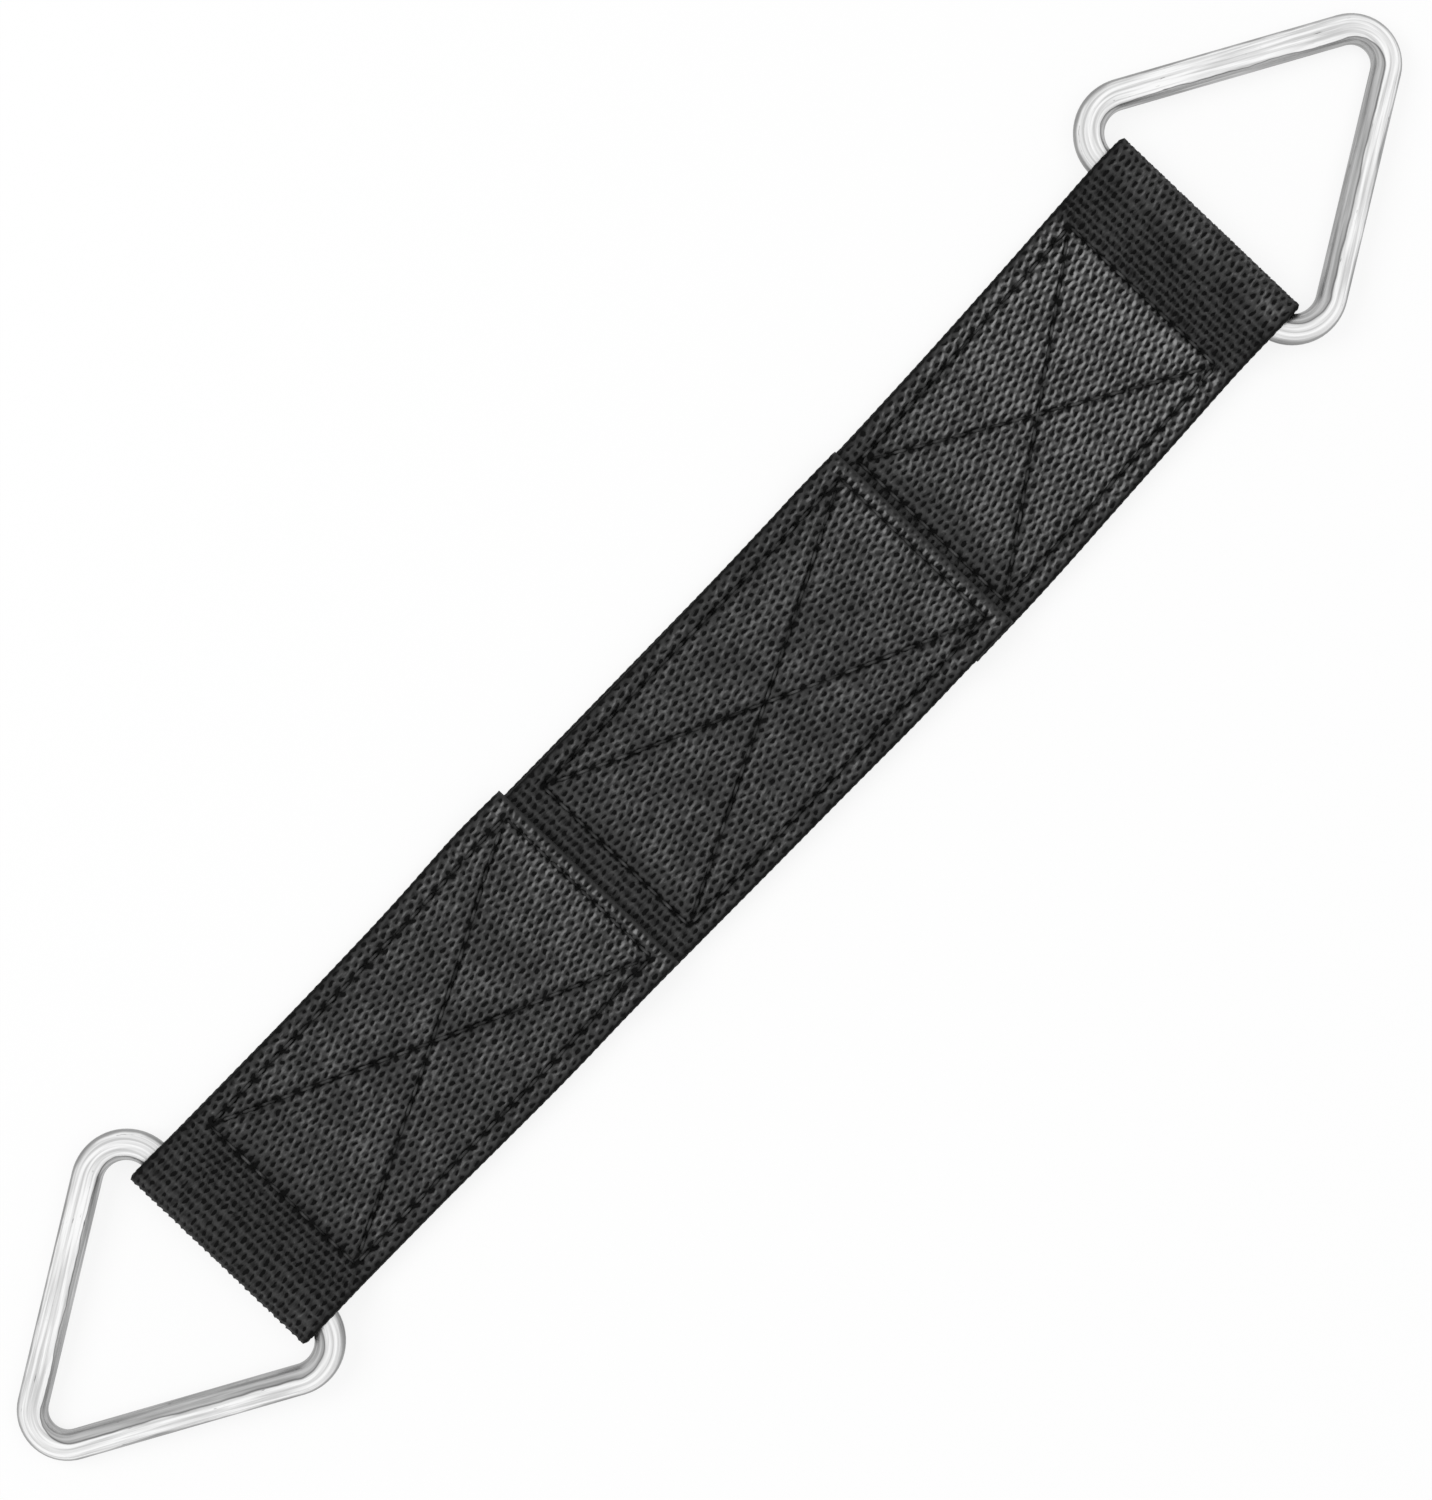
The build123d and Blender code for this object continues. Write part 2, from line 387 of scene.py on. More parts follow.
def cross_section():
    """Round the band: share of the half width, height from 0 to 1, 1 for the woven face, and bulge."""
    pairs = 2 * round(HALF_STOCK / YARN_PITCH / 2)
    edge_angles = np.radians([60, 0, -60])
    points = [(y, 1.0, 1.0, 0.0) for y in np.linspace(-1, 1, pairs * FACE_STEPS + 1)]
    points += [(1.0, 0.5 + 0.5 * math.sin(a), 0.0, EDGE_BULGE * math.cos(a)) for a in edge_angles]
    points += [(y, 0.0, 0.0, 0.0) for y in (1, 0.9, 0, -0.9, -1)]
    points += [(-1.0, 0.5 + 0.5 * math.sin(a), 0.0, -EDGE_BULGE * math.cos(a)) for a in -edge_angles]
    return np.array(points).T[:, None, :]


def pressed(x, y):
    """Share of the thickness that a ring's bend presses out of a sleeve's inner side."""
    # lean is how far the inside of the wire's bend has turned in beyond the end of the bar's straight run
    past = np.clip(np.abs(y) - BAR_STRAIGHT, 0, INNER_BEND - 0.5)
    lean = INNER_BEND - np.sqrt(INNER_BEND**2 - past**2)
    return np.clip(0.8 * lean - 0.1, 0, 1.4) / THICKNESS * (np.abs(x) > MOUTH_X - 1)


def store(mesh, key, values, kind="FLOAT"):
    """Keeps a value for every point of a mesh as a named attribute."""
    attribute = mesh.attributes.new(key, kind, "POINT")
    field = "vector" if kind == "FLOAT_VECTOR" else "value"
    attribute.data.foreach_set(field, np.ascontiguousarray(values, np.float32).ravel())


section = cross_section()
print("points round the band:", section.shape[2])


# %% Loft the webbing
def band(name, line, layer_of):
    """A smooth closed band of webbing along a line, with its flat measure as attributes."""
    tangent = np.gradient(line, axis=0)
    tangent /= np.linalg.norm(tangent, axis=1)[:, None]
    normal = np.stack([-tangent[:, 1], tangent[:, 0]], axis=1)
    centre = line + normal * THICKNESS / 2
    length = np.concatenate([[0], np.cumsum(np.linalg.norm(np.diff(centre, axis=0), axis=1))])
    full_length = length[-1]
    rows = round(full_length / ROW_PITCH)
    inner = np.linspace(END_ROUND, full_length - END_ROUND, rows * ROW_STEPS - 1)
    at = np.concatenate([END_PLACES, inner, full_length - END_PLACES[::-1]])
    thin = np.concatenate([END_SHARES, np.ones(len(inner)), END_SHARES[::-1]])
    place = np.stack([np.interp(at, length, line[:, k]) for k in (0, 1)], axis=1)
    out = np.stack([np.interp(at, length, normal[:, k]) for k in (0, 1)], axis=1)
    out /= np.linalg.norm(out, axis=1)[:, None]
    along_x, along_z = place[:, :1], place[:, 1:]

    layers = [layer_of(x, up) for x, up in zip(place[:, 0], out[:, 1])]
    sideways, width, light_and_shade = (
        np.array([look_up(table, layer, x) for layer, x in zip(layers, place[:, 0])])
        for table in (SHIFTS, WIDTHS, LIGHT_AND_SHADE)
    )
    sideways = evened(sideways)
    half = evened(width / 2) + EDGE_RIPPLE * np.sin(2 * np.pi * at / ROW_PITCH)

    share, high, face, bulge = section
    across = share * (half[:, None] - EDGE_BULGE) + bulge
    y = across + sideways[:, None]
    level = (np.maximum(high, pressed(along_x, y)) - 0.5) * thin[:, None] * THICKNESS + THICKNESS / 2
    x = along_x + out[:, :1] * level
    z = along_z + out[:, 1:] * level
    points = np.stack([x, y, z], axis=2) * MM
    count, around = points.shape[:2]

    index = np.arange(count * around).reshape(count, around)
    here, there = index[:-1], index[1:]
    faces = np.stack([here, there, np.roll(there, -1, axis=1), np.roll(here, -1, axis=1)], axis=2)
    faces = faces.reshape(-1, 4).tolist() + [index[0].tolist(), index[-1][::-1].tolist()]
    mesh = bpy.data.meshes.new(name)
    mesh.from_pydata(points.reshape(-1, 3).tolist(), [], faces)
    mesh.shade_smooth()

    everywhere = np.ones((count, around))
    line_mark, hole_mark = seam_marks((along_x * everywhere).ravel(), across.ravel())
    sewn = face * (np.abs(out[:, 1:]) > 0.8) * (np.abs(along_x) < SLEEVE_START)
    ends = np.minimum(at, full_length - at)[:, None]
    # the yarns are melted together along a cut end, and drawn flat along the selvedge
    woven = np.clip((ends - 0.3) / 1.2, 0, 1) * face
    woven = woven * np.clip((half[:, None] - np.abs(across)) / SELVEDGE, 0.15, 1)
    # a painted highlight along each melted cut end
    sealed_end_highlight = np.clip(1 - (ends - 0.2) / 0.9, 0, 1)
    measure = np.stack([at[:, None] * everywhere, across, 0 * everywhere], axis=2)
    outward = np.stack([out[:, :1] * everywhere, 0 * everywhere, out[:, 1:] * everywhere], axis=2)
    store(mesh, "weave_mm", measure, "FLOAT_VECTOR")
    store(mesh, "outward", outward, "FLOAT_VECTOR")
    store(mesh, "woven", woven)
    # where the seams press the webbing down; the shader also paints shade into these grooves and needle holes
    store(mesh, "seam", line_mark.reshape(count, around) * sewn)
    store(mesh, "hole", hole_mark.reshape(count, around) * sewn)
    store(mesh, "sealed_end_highlight", sealed_end_highlight * everywhere)
    # painted light and shade, kept for the webbing's colour
    store(mesh, "light_and_shade", light_and_shade[:, None] * everywhere)
    print(name, "length", round(full_length, 1), "mm, rows", rows, "faces", len(faces))
    return mesh, full_length


def main_layer(x, up):
    """Which layer of the main webbing a place belongs to."""
    if up < 0.1:
        return "rear"
    return "upper" if x > 0 else "lower"


def middle_layer(x, up):
    """The middle webbing has one layer only."""
    return "middle"


main_mesh, main_length = band("main_webbing_band", main_line, main_layer)
middle_mesh, middle_length = band("middle_webbing_band", middle_line, middle_layer)

# %% [markdown]
# ## The weave
#
# The face of this webbing is a plain weave of thick lengthwise yarns: each yarn comes up over one crosswise
# row and dives under the next, and its neighbours do the opposite. What shows is a staggered field of small
# slanted grains, with a dark hollow between every two that is darkest on one side. Each of the three fields
# is two grids of ovals, the second set off by a row and a yarn. That is one rule, so Geometry Nodes raise the
# grains and hollows: every point of the face is set by the grain or the hollow it lies in, and pressed down
# along the seams. The third field, the shade on one side of each hollow, is only painted shade in the colour.

# %% Fields of the weave
# half of an oval along and across the strap, and its sideways drift for each mm along
GRAIN = (1.0, 0.45, 0.2)
PIT = (1.04, 0.66, 0.06)  # the hollow between two grains
SHADE = (0.86, 0.4, 0.0)  # painted shade: the darkest part of a hollow, on the side that faces away from the lamps
# where the two grids of each field start, in repeats of two rows and two yarns
GRAIN_STARTS = ((0.5, 0.5, 0), (0, 0, 0))
PIT_STARTS = ((0.5, 0, 0), (0, 0.5, 0))
SHADE_STARTS = ((0.5, 0.1, 0), (0, 0.6, 0))
YARN_DRIFT = (1.9, 1.4, 0.0)  # how far real yarns wander, along and across the strap
HALVES = (0.5, 0.5, 0.5)


def grid_height(tree, measure, row_pitch, yarn_pitch, start, oval):
    """Nodes for one grid of ovals: 1 in the middle of an oval, 0 on its outline and below that outside."""
    half_length, half_width, drift = oval
    period = result(tree, "ShaderNodeCombineXYZ", {0: row_pitch, 1: yarn_pitch, 2: 1.0})
    # part is the place within one repeat, two rows long and two yarns wide, in mm from its middle
    cells = vector_node(tree, "DIVIDE", measure, period)
    cells = vector_node(tree, "MULTIPLY_ADD", cells, HALVES, start)
    part = vector_node(tree, "FRACTION", cells)
    part = vector_node(tree, "SUBTRACT", part, HALVES)
    part = vector_node(tree, "MULTIPLY", part, period)
    part = vector_node(tree, "MULTIPLY", part, (2.0, 2.0, 0.0))
    lengthwise = dot(tree, part, (1 / half_length, 0, 0))
    crosswise = dot(tree, part, (-drift / half_width, 1 / half_width, 0))
    square = math_node(tree, "MULTIPLY", lengthwise, lengthwise)
    both = math_node(tree, "MULTIPLY_ADD", crosswise, crosswise, square)
    return math_node(tree, "SUBTRACT", 1.0, both)


def weave_fields(tree, measure, row_pitch, yarn_pitch):
    """Nodes for the staggered fields, each from 0 to 1: grains, pits and the pits' shaded sides."""
    wander = noise(tree, measure, 0.5, 3.0)["Color"]
    place = vector_node(tree, "MULTIPLY_ADD", wander, YARN_DRIFT, measure)
    fields = []
    for oval, starts in ((GRAIN, GRAIN_STARTS), (PIT, PIT_STARTS), (SHADE, SHADE_STARTS)):
        pair = [grid_height(tree, place, row_pitch, yarn_pitch, start, oval) for start in starts]
        higher = math_node(tree, "MAXIMUM", *pair)
        fields.append(math_node(tree, "MAXIMUM", higher, 0.0))
    return fields


print("grain, mm:", [2 * size for size in GRAIN[:2]], "hollow, mm:", [2 * size for size in PIT[:2]])


# %% Geometry Nodes
def new_tree(name, inputs):
    """A Geometry Nodes tree with a geometry input and output and the named inputs."""
    tree = bpy.data.node_groups.new(name, "GeometryNodeTree")
    tree.interface.new_socket("Geometry", in_out="INPUT", socket_type="NodeSocketGeometry")
    tree.interface.new_socket("Geometry", in_out="OUTPUT", socket_type="NodeSocketGeometry")
    for key, value in inputs.items():
        kind = "NodeSocketMaterial" if isinstance(value, bpy.types.Material) else "NodeSocketFloat"
        socket = tree.interface.new_socket(key, in_out="INPUT", socket_type=kind)
        socket.default_value = value
    return tree


def set_input(modifier, name, value):
    """Sets a Geometry Nodes modifier's input by the identifier of the socket with that name."""
    for item in modifier.node_group.interface.items_tree:
        if item.item_type == "SOCKET" and item.in_out == "INPUT" and item.name == name:
            modifier[item.identifier] = value
            return
    raise KeyError(name)


def plain_mesh(name, mesh, tree, inputs):
    """The mesh after a Geometry Nodes tree, as a plain object at the origin."""
    source = bpy.data.objects.new(name + "_source", mesh)
    bpy.context.scene.collection.objects.link(source)
    modifier = source.modifiers.new("nodes", "NODES")
    modifier.node_group = tree
    for key, value in inputs.items():
        set_input(modifier, key, value)
    graph = bpy.context.evaluated_depsgraph_get()
    made = bpy.data.meshes.new_from_object(source.evaluated_get(graph))
    source.modifiers.remove(modifier)
    bpy.data.objects.remove(source)
    made.name = name
    piece = bpy.data.objects.new(name, made)
    bpy.context.scene.collection.objects.link(piece)
    return piece


def named(tree, key, kind="FLOAT"):
    """A named attribute's value."""
    node = add_node(tree, "GeometryNodeInputNamedAttribute", {"Name": key}, data_type=kind)
    return node.outputs["Attribute"]


def pressed_in(tree, height, field, depth):
    """A height less a field times its depth."""
    return math_node(tree, "SUBTRACT", height, math_node(tree, "MULTIPLY", field, depth))


print("Geometry Nodes helpers ready")

# %% Materials come before the trees that set them
# polyester yarn, dyed black and woven to 50 mm webbing on a narrow loom
webbing_material = bpy.data.materials.new("woven_black_polyester_webbing")
# black polyester filament, twisted from plies and bonded so that the needle doesn't fray it
thread_material = bpy.data.materials.new("bonded_black_polyester_thread")
# steel wire, drawn, bent and welded, then plated with bright zinc
zinc_material = bpy.data.materials.new("bright_zinc_plated_steel_wire")
print("materials:", [material.name for material in (webbing_material, thread_material, zinc_material)])

# %% Build the weave tree
WEAVE_INPUTS = {
    "Row pitch": ROW_PITCH,
    "Yarn pitch": YARN_PITCH,
    "Grain height": 0.2,
    "Pit depth": 0.35,
    "Seam depth": 0.3,
    "Hole depth": 0.45,
    "Material": webbing_material,
}
weave = new_tree("weave", WEAVE_INPUTS)
weave_in = add_node(weave, "NodeGroupInput").outputs
flat_place = named(weave, "weave_mm", "FLOAT_VECTOR")
grains, pits, _ = weave_fields(weave, flat_place, weave_in["Row pitch"], weave_in["Yarn pitch"])
# crests stay at the webbing's full thickness and everything else lies below it
drop = math_node(weave, "MULTIPLY", math_node(weave, "SUBTRACT", grains, 1.0), weave_in["Grain height"])
drop = pressed_in(weave, drop, pits, weave_in["Pit depth"])
drop = math_node(weave, "MULTIPLY", drop, named(weave, "woven"))
drop = pressed_in(weave, drop, named(weave, "seam"), weave_in["Seam depth"])
drop = pressed_in(weave, drop, named(weave, "hole"), weave_in["Hole depth"])
lift = scaled(weave, named(weave, "outward", "FLOAT_VECTOR"), math_node(weave, "MULTIPLY", drop, MM))
moved = result(weave, "GeometryNodeSetPosition", {"Geometry": weave_in["Geometry"], "Offset": lift})
moved = result(weave, "GeometryNodeRealizeInstances", {0: moved})
moved = result(weave, "GeometryNodeSetMaterial", {"Geometry": moved, "Material": weave_in["Material"]})
add_node(weave, "NodeGroupOutput", {0: moved})

main_webbing = plain_mesh("main_webbing_woven", main_mesh, weave, WEAVE_INPUTS)
middle_webbing = plain_mesh("middle_webbing_woven", middle_mesh, weave, WEAVE_INPUTS)
print("main webbing faces:", len(main_webbing.data.polygons))

# %% [markdown]
# ## Webbing material
#
# Polyester webbing is black all through. Its shiny filaments catch the light on every crest and the hollows
# between the grains lie in shade, and both are painted into the colour. The shader repeats the weave's rule
# at full sharpness, finer than the mesh can carry. Its colour is one brightness from 0 to 1, added up from
# weighted
# fields: what is woven in, painted highlights and painted shade, random tone, painted shade in the seams and
# needle holes, and a painted highlight along the melted cut ends.


# %% Webbing shader
def weighted(tree, total, *terms):
    """A total with each field added to it times its weight."""
    for field, weight in terms:
        total = math_node(tree, "MULTIPLY_ADD", field, weight, total)
    return total


def shader_attribute(tree, key, output="Fac"):
    """A mesh attribute's value in a shader."""
    return add_node(tree, "ShaderNodeAttribute", attribute_name=key).outputs[output]


tree, shader = start_material(webbing_material)
flat_place = shader_attribute(tree, "weave_mm", "Vector")
grains, pits, shades = weave_fields(tree, flat_place, ROW_PITCH, YARN_PITCH)
cells = vector_node(tree, "MULTIPLY", flat_place, (1 / ROW_PITCH, 1 / YARN_PITCH, 1))
patchy = noise(tree, flat_place, 0.12, 3.0)[0]
speckle = noise(tree, cells, 1.1, 4.0)[0]
uneven = noise(tree, flat_place, 0.55, 1.0)[0]
woven, seam, hole, light_and_shade, sealed_end_highlight = (
    shader_attribute(tree, key) for key in ("woven", "seam", "hole", "light_and_shade", "sealed_end_highlight")
)
# a grain's painted highlight is brighter where the painted light is high, and the painted shade is deeper in
# some hollows than in others
lit = math_node(tree, "MULTIPLY_ADD", light_and_shade, 0.38, 0.1)
shaded = spread(tree, uneven, 0.32, 0.62, -0.1, -0.75)
# a painted highlight on every grain's crest
bright = math_node(tree, "MULTIPLY_ADD", grains, lit, 0.46)
# painted light and shade from the table, painted shade in the hollows and on their far sides, and random tone
bright = weighted(tree, bright, (light_and_shade, 0.08), (pits, -0.3), (shades, shaded), (speckle, 0.6), (patchy, 0.4))
bright = math_node(tree, "SUBTRACT", bright, 0.48)
bright = math_node(tree, "MULTIPLY", bright, woven)
# a painted highlight along the melted cut ends, and painted shade in the seams' grooves and needle holes
bright = weighted(tree, bright, (sealed_end_highlight, 0.3), (seam, -0.18), (hole, -0.9))
colour = colour_ramp(tree, bright, (0.0, "#0a0a0a"), (0.5, "#434343"), (1.0, "#989898"))
tree.links.new(colour, shader.inputs["Base Color"])
relief = math_node(tree, "SUBTRACT", grains, pits)
bump = result(tree, "ShaderNodeBump", {"Height": relief, "Strength": 0.35, "Distance": 0.2 * MM})
tree.links.new(bump, shader.inputs["Normal"])
shader.inputs["Roughness"].default_value = 0.65
shader.inputs["Specular IOR Level"].default_value = 0.08
print("webbing shader nodes:", len(tree.nodes))

# %% [markdown]
# ## Stitches
#
# A lockstitch shows as short lengths of thread between needle holes, all alike. One stitch is a thread that
# rises out of its hole and dives into the next, and its colour is painted darkest where it dives, as painted
# shade. Geometry Nodes put it on one point for each stitch, turned along its run and tilted with the layer
# below.

# %% Points of the stitches
SUNK = 0.2  # how far the thread's middle lies under the crests
REAR_FACE = 0.55  # height of the rear layer's woven face
STEP_LEAD = 0.35  # how far before its step a front layer's outer face starts to climb
HOLE_SHARES = (0.08, 0.92)  # a thread shows between these shares of its stitch


def front_height(name, x):
    """Height of a front layer's woven face at x, in mm."""
    climbed = 0.0
    if name in STEP_UP:
        climbed = np.clip((x - STEP_UP[name] + STEP_LEAD) / STEP_LENGTH, 0, 1)
    return FRONT_LOW + THICKNESS + climbed * (FRONT_HIGH - FRONT_LOW)


def stitch_points(name, side):
    """A mesh with a point for each stitch of a seam; side is 1 for the front and -1 for the rear."""
    places, ways, tops = [], [], []
    layer = name if side > 0 else "rear"
    for start, end, count in seam_runs(name):
        for k in range(count):
            ends = []
            for x, y in [start + (end - start) * (k + share) / count for share in HOLE_SHARES]:
                z = front_height(name, x) if side > 0 else REAR_FACE
                ends.append(np.array((x, y + look_up(SHIFTS, layer, x), z)))
            way = (ends[1] - ends[0]) / np.linalg.norm(ends[1] - ends[0])
            top = np.cross(way, np.cross((0, 0, side), way))
            top = top / np.linalg.norm(top)
            places.append(((ends[0] + ends[1]) / 2 - SUNK * top) * MM)
            ways.append(way)
            tops.append(top)
    mesh = bpy.data.meshes.new(name + "_stitches")
    mesh.from_pydata([tuple(p) for p in places], [], [])
    store(mesh, "way", ways, "FLOAT_VECTOR")
    store(mesh, "top", tops, "FLOAT_VECTOR")
    return mesh


print("height of the middle panel, low and high:", front_height("middle", 0), front_height("middle", 59))

# %% Stitch tree
STITCH_INPUTS = {
    "Stitch length": 3.4 * MM,
    "Thread radius": 0.3 * MM,
    "Dive": 0.7 * MM,
    "Material": thread_material,
}
THREAD_POINTS = 7  # along a stitch
THREAD_SIDES = 7
stitching = new_tree("stitching", STITCH_INPUTS)
stitch_in = add_node(stitching, "NodeGroupInput").outputs
half = math_node(stitching, "MULTIPLY", stitch_in["Stitch length"], 0.5)
line_start = result(stitching, "ShaderNodeCombineXYZ", {0: math_node(stitching, "MULTIPLY", half, -1.0)})
line_end = result(stitching, "ShaderNodeCombineXYZ", {0: half})
thread = result(stitching, "GeometryNodeCurvePrimitiveLine", {"Start": line_start, "End": line_end})
thread = result(stitching, "GeometryNodeResampleCurve", {"Curve": thread, "Count": THREAD_POINTS})
# the fourth power keeps the middle of a stitch nearly flat and turns its ends down steeply
where_x = result(stitching, "ShaderNodeSeparateXYZ", {0: result(stitching, "GeometryNodeInputPosition")})
end_share = math_node(stitching, "ABSOLUTE", math_node(stitching, "DIVIDE", where_x, half))
fourth = math_node(stitching, "POWER", end_share, 4.0)
sink = math_node(stitching, "MULTIPLY", fourth, math_node(stitching, "MULTIPLY", stitch_in["Dive"], -1.0))
downwards = result(stitching, "ShaderNodeCombineXYZ", {2: sink})
thread = result(stitching, "GeometryNodeSetPosition", {"Geometry": thread, "Offset": downwards})
thread = result(
    stitching, "GeometryNodeStoreNamedAttribute", {"Geometry": thread, "Name": "dive", "Value": fourth}
)
profile = result(
    stitching,
    "GeometryNodeCurvePrimitiveCircle",
    {"Resolution": THREAD_SIDES, "Radius": stitch_in["Thread radius"]},
)
thread = result(
    stitching, "GeometryNodeCurveToMesh", {"Curve": thread, "Profile Curve": profile, "Fill Caps": True}
)
# a stitch is turned to its way first, and then about that way until its top points out of the webbing
way, top = named(stitching, "way", "FLOAT_VECTOR"), named(stitching, "top", "FLOAT_VECTOR")
turn = result(stitching, "FunctionNodeAlignRotationToVector", {"Vector": way}, axis="X")
turn = result(
    stitching,
    "FunctionNodeAlignRotationToVector",
    {"Rotation": turn, "Vector": top},
    axis="Z",
    pivot_axis="X",
)
placed = result(
    stitching,
    "GeometryNodeInstanceOnPoints",
    {"Points": stitch_in["Geometry"], "Instance": thread, "Rotation": turn},
)
placed = result(stitching, "GeometryNodeRealizeInstances", {0: placed})
placed = result(stitching, "GeometryNodeSetShadeSmooth", {"Geometry": placed})
placed = result(
    stitching, "GeometryNodeSetMaterial", {"Geometry": placed, "Material": stitch_in["Material"]}
)
add_node(stitching, "NodeGroupOutput", {0: placed})

threads = {}
for seam_name in SEAMS:
    for side, kind in ((1, "needle"), (-1, "bobbin")):
        points = stitch_points(seam_name, side)
        piece = plain_mesh(f"{seam_name}_{kind}_stitches", points, stitching, STITCH_INPUTS)
        threads[f"{seam_name}_{kind}_thread"] = piece
print("faces of one seam's stitches:", len(threads["lower_needle_thread"].data.polygons))

# %% Thread shader
tree, shader = start_material(thread_material)
# painted glints: the thread's black is painted lighter in patches a few millimetres long, where its twisted
# plies would catch the light
place = add_node(tree, "ShaderNodeTexCoord").outputs["Object"]
glints = noise(tree, place, 330.0, 3.0)[0]
glint_colour = colour_ramp(tree, glints, (0.35, "#181818"), (0.68, "#4e4e4e"))
# painted shade: the thread is painted dark where it dives into its hole
lit = spread(tree, shader_attribute(tree, "dive"), 0.0, 0.3, 1.0, 0.06)
tree.links.new(scaled(tree, glint_colour, lit), shader.inputs["Base Color"])
shader.inputs["Roughness"].default_value = 0.5
shader.inputs["Specular IOR Level"].default_value = 0.12
print("thread shader nodes:", len(tree.nodes))

# %% [markdown]
# ## Triangle rings
#
# Each ring is one length of round wire, bent to a triangle with three rounded corners and welded in the
# middle of the bar. A tube swept along the bent line is the wire itself. It lies tilted, its bar up in the
# sleeve and its point on the table.

# %% Rings
APEX_BEND = 7.2
BAR_X = 139.65
BAR_Z = 5.5
RING_HEIGHT = RING_SIDE * math.cos(math.radians(30))
RING_TILT = math.asin((BAR_Z - WIRE_RADIUS) / (RING_HEIGHT - APEX_BEND))
SIDES = 32
RUN_STEP = 3.0  # between two points of a straight run


def ring_line():
    """Points of the wire's centre, on and off the bar's line, and how far along the wire each one is."""
    middle, tip = (0.0, 0.0), (RING_HEIGHT, 0.0)
    low, high = (0.0, -RING_SIDE / 2), (0.0, RING_SIDE / 2)
    points = [middle]
    for before, corner, after, radius in (
        (middle, low, tip, BASE_BEND),
        (low, tip, high, APEX_BEND),
        (tip, high, middle, BASE_BEND),
    ):
        points += rounded([before, corner, after], radius, 0.8)[1:-1]
    closed = np.array(points + [middle])
    away = np.concatenate([[0], np.cumsum(np.linalg.norm(np.diff(closed, axis=0), axis=1))])
    # the straight runs get points too, so that no face of the tube is much longer than the others
    runs = [
        np.linspace(a, b, max(1, round((b - a) / RUN_STEP)), endpoint=False) for a, b in zip(away, away[1:])
    ]
    at = np.concatenate(runs)
    return np.stack([np.interp(at, away, closed[:, k]) for k in (0, 1)], axis=1), at


def ring_mesh(name, direction):
    """A closed tube along the ring's line; direction is -1 for the left ring and 1 for the right one."""
    line, at = ring_line()
    tangent = np.roll(line, -1, axis=0) - np.roll(line, 1, axis=0)
    tangent /= np.linalg.norm(tangent, axis=1)[:, None]
    side = np.stack([tangent[:, 1], -tangent[:, 0]], axis=1)
    angles = 2 * np.pi * np.arange(SIDES) / SIDES
    tube = line[:, None, :] + side[:, None, :] * (np.cos(angles) * WIRE_RADIUS)[None, :, None]
    reach, y = tube[..., 0], tube[..., 1]
    up = np.broadcast_to(np.sin(angles) * WIRE_RADIUS, reach.shape)
    x = reach * math.cos(RING_TILT) + up * math.sin(RING_TILT)
    z = BAR_Z - reach * math.sin(RING_TILT) + up * math.cos(RING_TILT)
    points = np.stack([direction * (BAR_X + x), y, z], axis=2) * MM
    index = np.arange(reach.size).reshape(reach.shape)
    there = np.roll(index, -1, axis=0)
    quads = np.stack([index, np.roll(index, -1, axis=1), np.roll(there, -1, axis=1), there], axis=2)
    if direction > 0:
        quads = quads[:, :, ::-1]
    mesh = bpy.data.meshes.new(name)
    mesh.from_pydata(points.reshape(-1, 3).tolist(), [], quads.reshape(-1, 4).tolist())
    mesh.shade_smooth()
    # place on the wire: along it, away from the ring's middle and up, all in mm
    outwards = np.broadcast_to(np.cos(angles) * WIRE_RADIUS, reach.shape)
    lengthwise = np.broadcast_to(at[:, None], reach.shape)
    store(mesh, "wire_mm", np.stack([lengthwise, outwards, up], axis=2), "FLOAT_VECTOR")
    piece = bpy.data.objects.new(name, mesh)
    bpy.context.scene.collection.objects.link(piece)
    mesh.materials.append(zinc_material)
    return piece


lower_ring = ring_mesh("lower_triangle_ring", -1)
upper_ring = ring_mesh("upper_triangle_ring", 1)
print("ring faces:", len(lower_ring.data.polygons))


# %% Volumes, whose sign shows whether each piece faces outwards
def volume(piece):
    """Volume of a closed mesh in cubic mm, which is negative where it is inside out."""
    piece.data.calc_loop_triangles()
    points = np.array([v.co for v in piece.data.vertices])
    corners = np.array([t.vertices for t in piece.data.loop_triangles])
    a, b, c = (points[corners[:, k]] for k in range(3))
    return float((a * np.cross(b, c)).sum() / 6) / MM**3


for piece in (main_webbing, middle_webbing, lower_ring, upper_ring, *threads.values()):
    print(piece.name, "volume", round(volume(piece)), "mm3")

# %% [markdown]
# ## Zinc
#
# Bright zinc mirrors a white room as near white. What gives the wire its shape is painted into its colour:
# painted shade on the inside of the triangle, with a dark painted line where it begins, and a thin grey
# outline on the outside, a painted reflection of the shaded table. Both are fixed to the wire and turn with
# it.
# Drawing the wire left streaks along it, and use left a few short scratches.

# %% Zinc shader
tree, shader = start_material(zinc_material)
wire_place = shader_attribute(tree, "wire_mm", "Vector")
streaks = noise(tree, vector_node(tree, "MULTIPLY", wire_place, (0.06, 1.6, 1.6)), 1.0, 4.0)[0]
scratches = noise(tree, vector_node(tree, "MULTIPLY", wire_place, (0.3, 1.2, 1.2)), 1.0, 3.0)[0]
cloudy = noise(tree, wire_place, 0.12, 2.0)[0]
# across runs from 0 on the inside of the triangle to 1 on its outside, and wavers by half a millimetre
outwards = add_node(tree, "ShaderNodeSeparateXYZ", {0: wire_place}).outputs[1]
across = math_node(tree, "MULTIPLY_ADD", cloudy, 1.2, math_node(tree, "SUBTRACT", outwards, 0.6))
across = math_node(tree, "MULTIPLY_ADD", across, 0.5 / WIRE_RADIUS, 0.5)
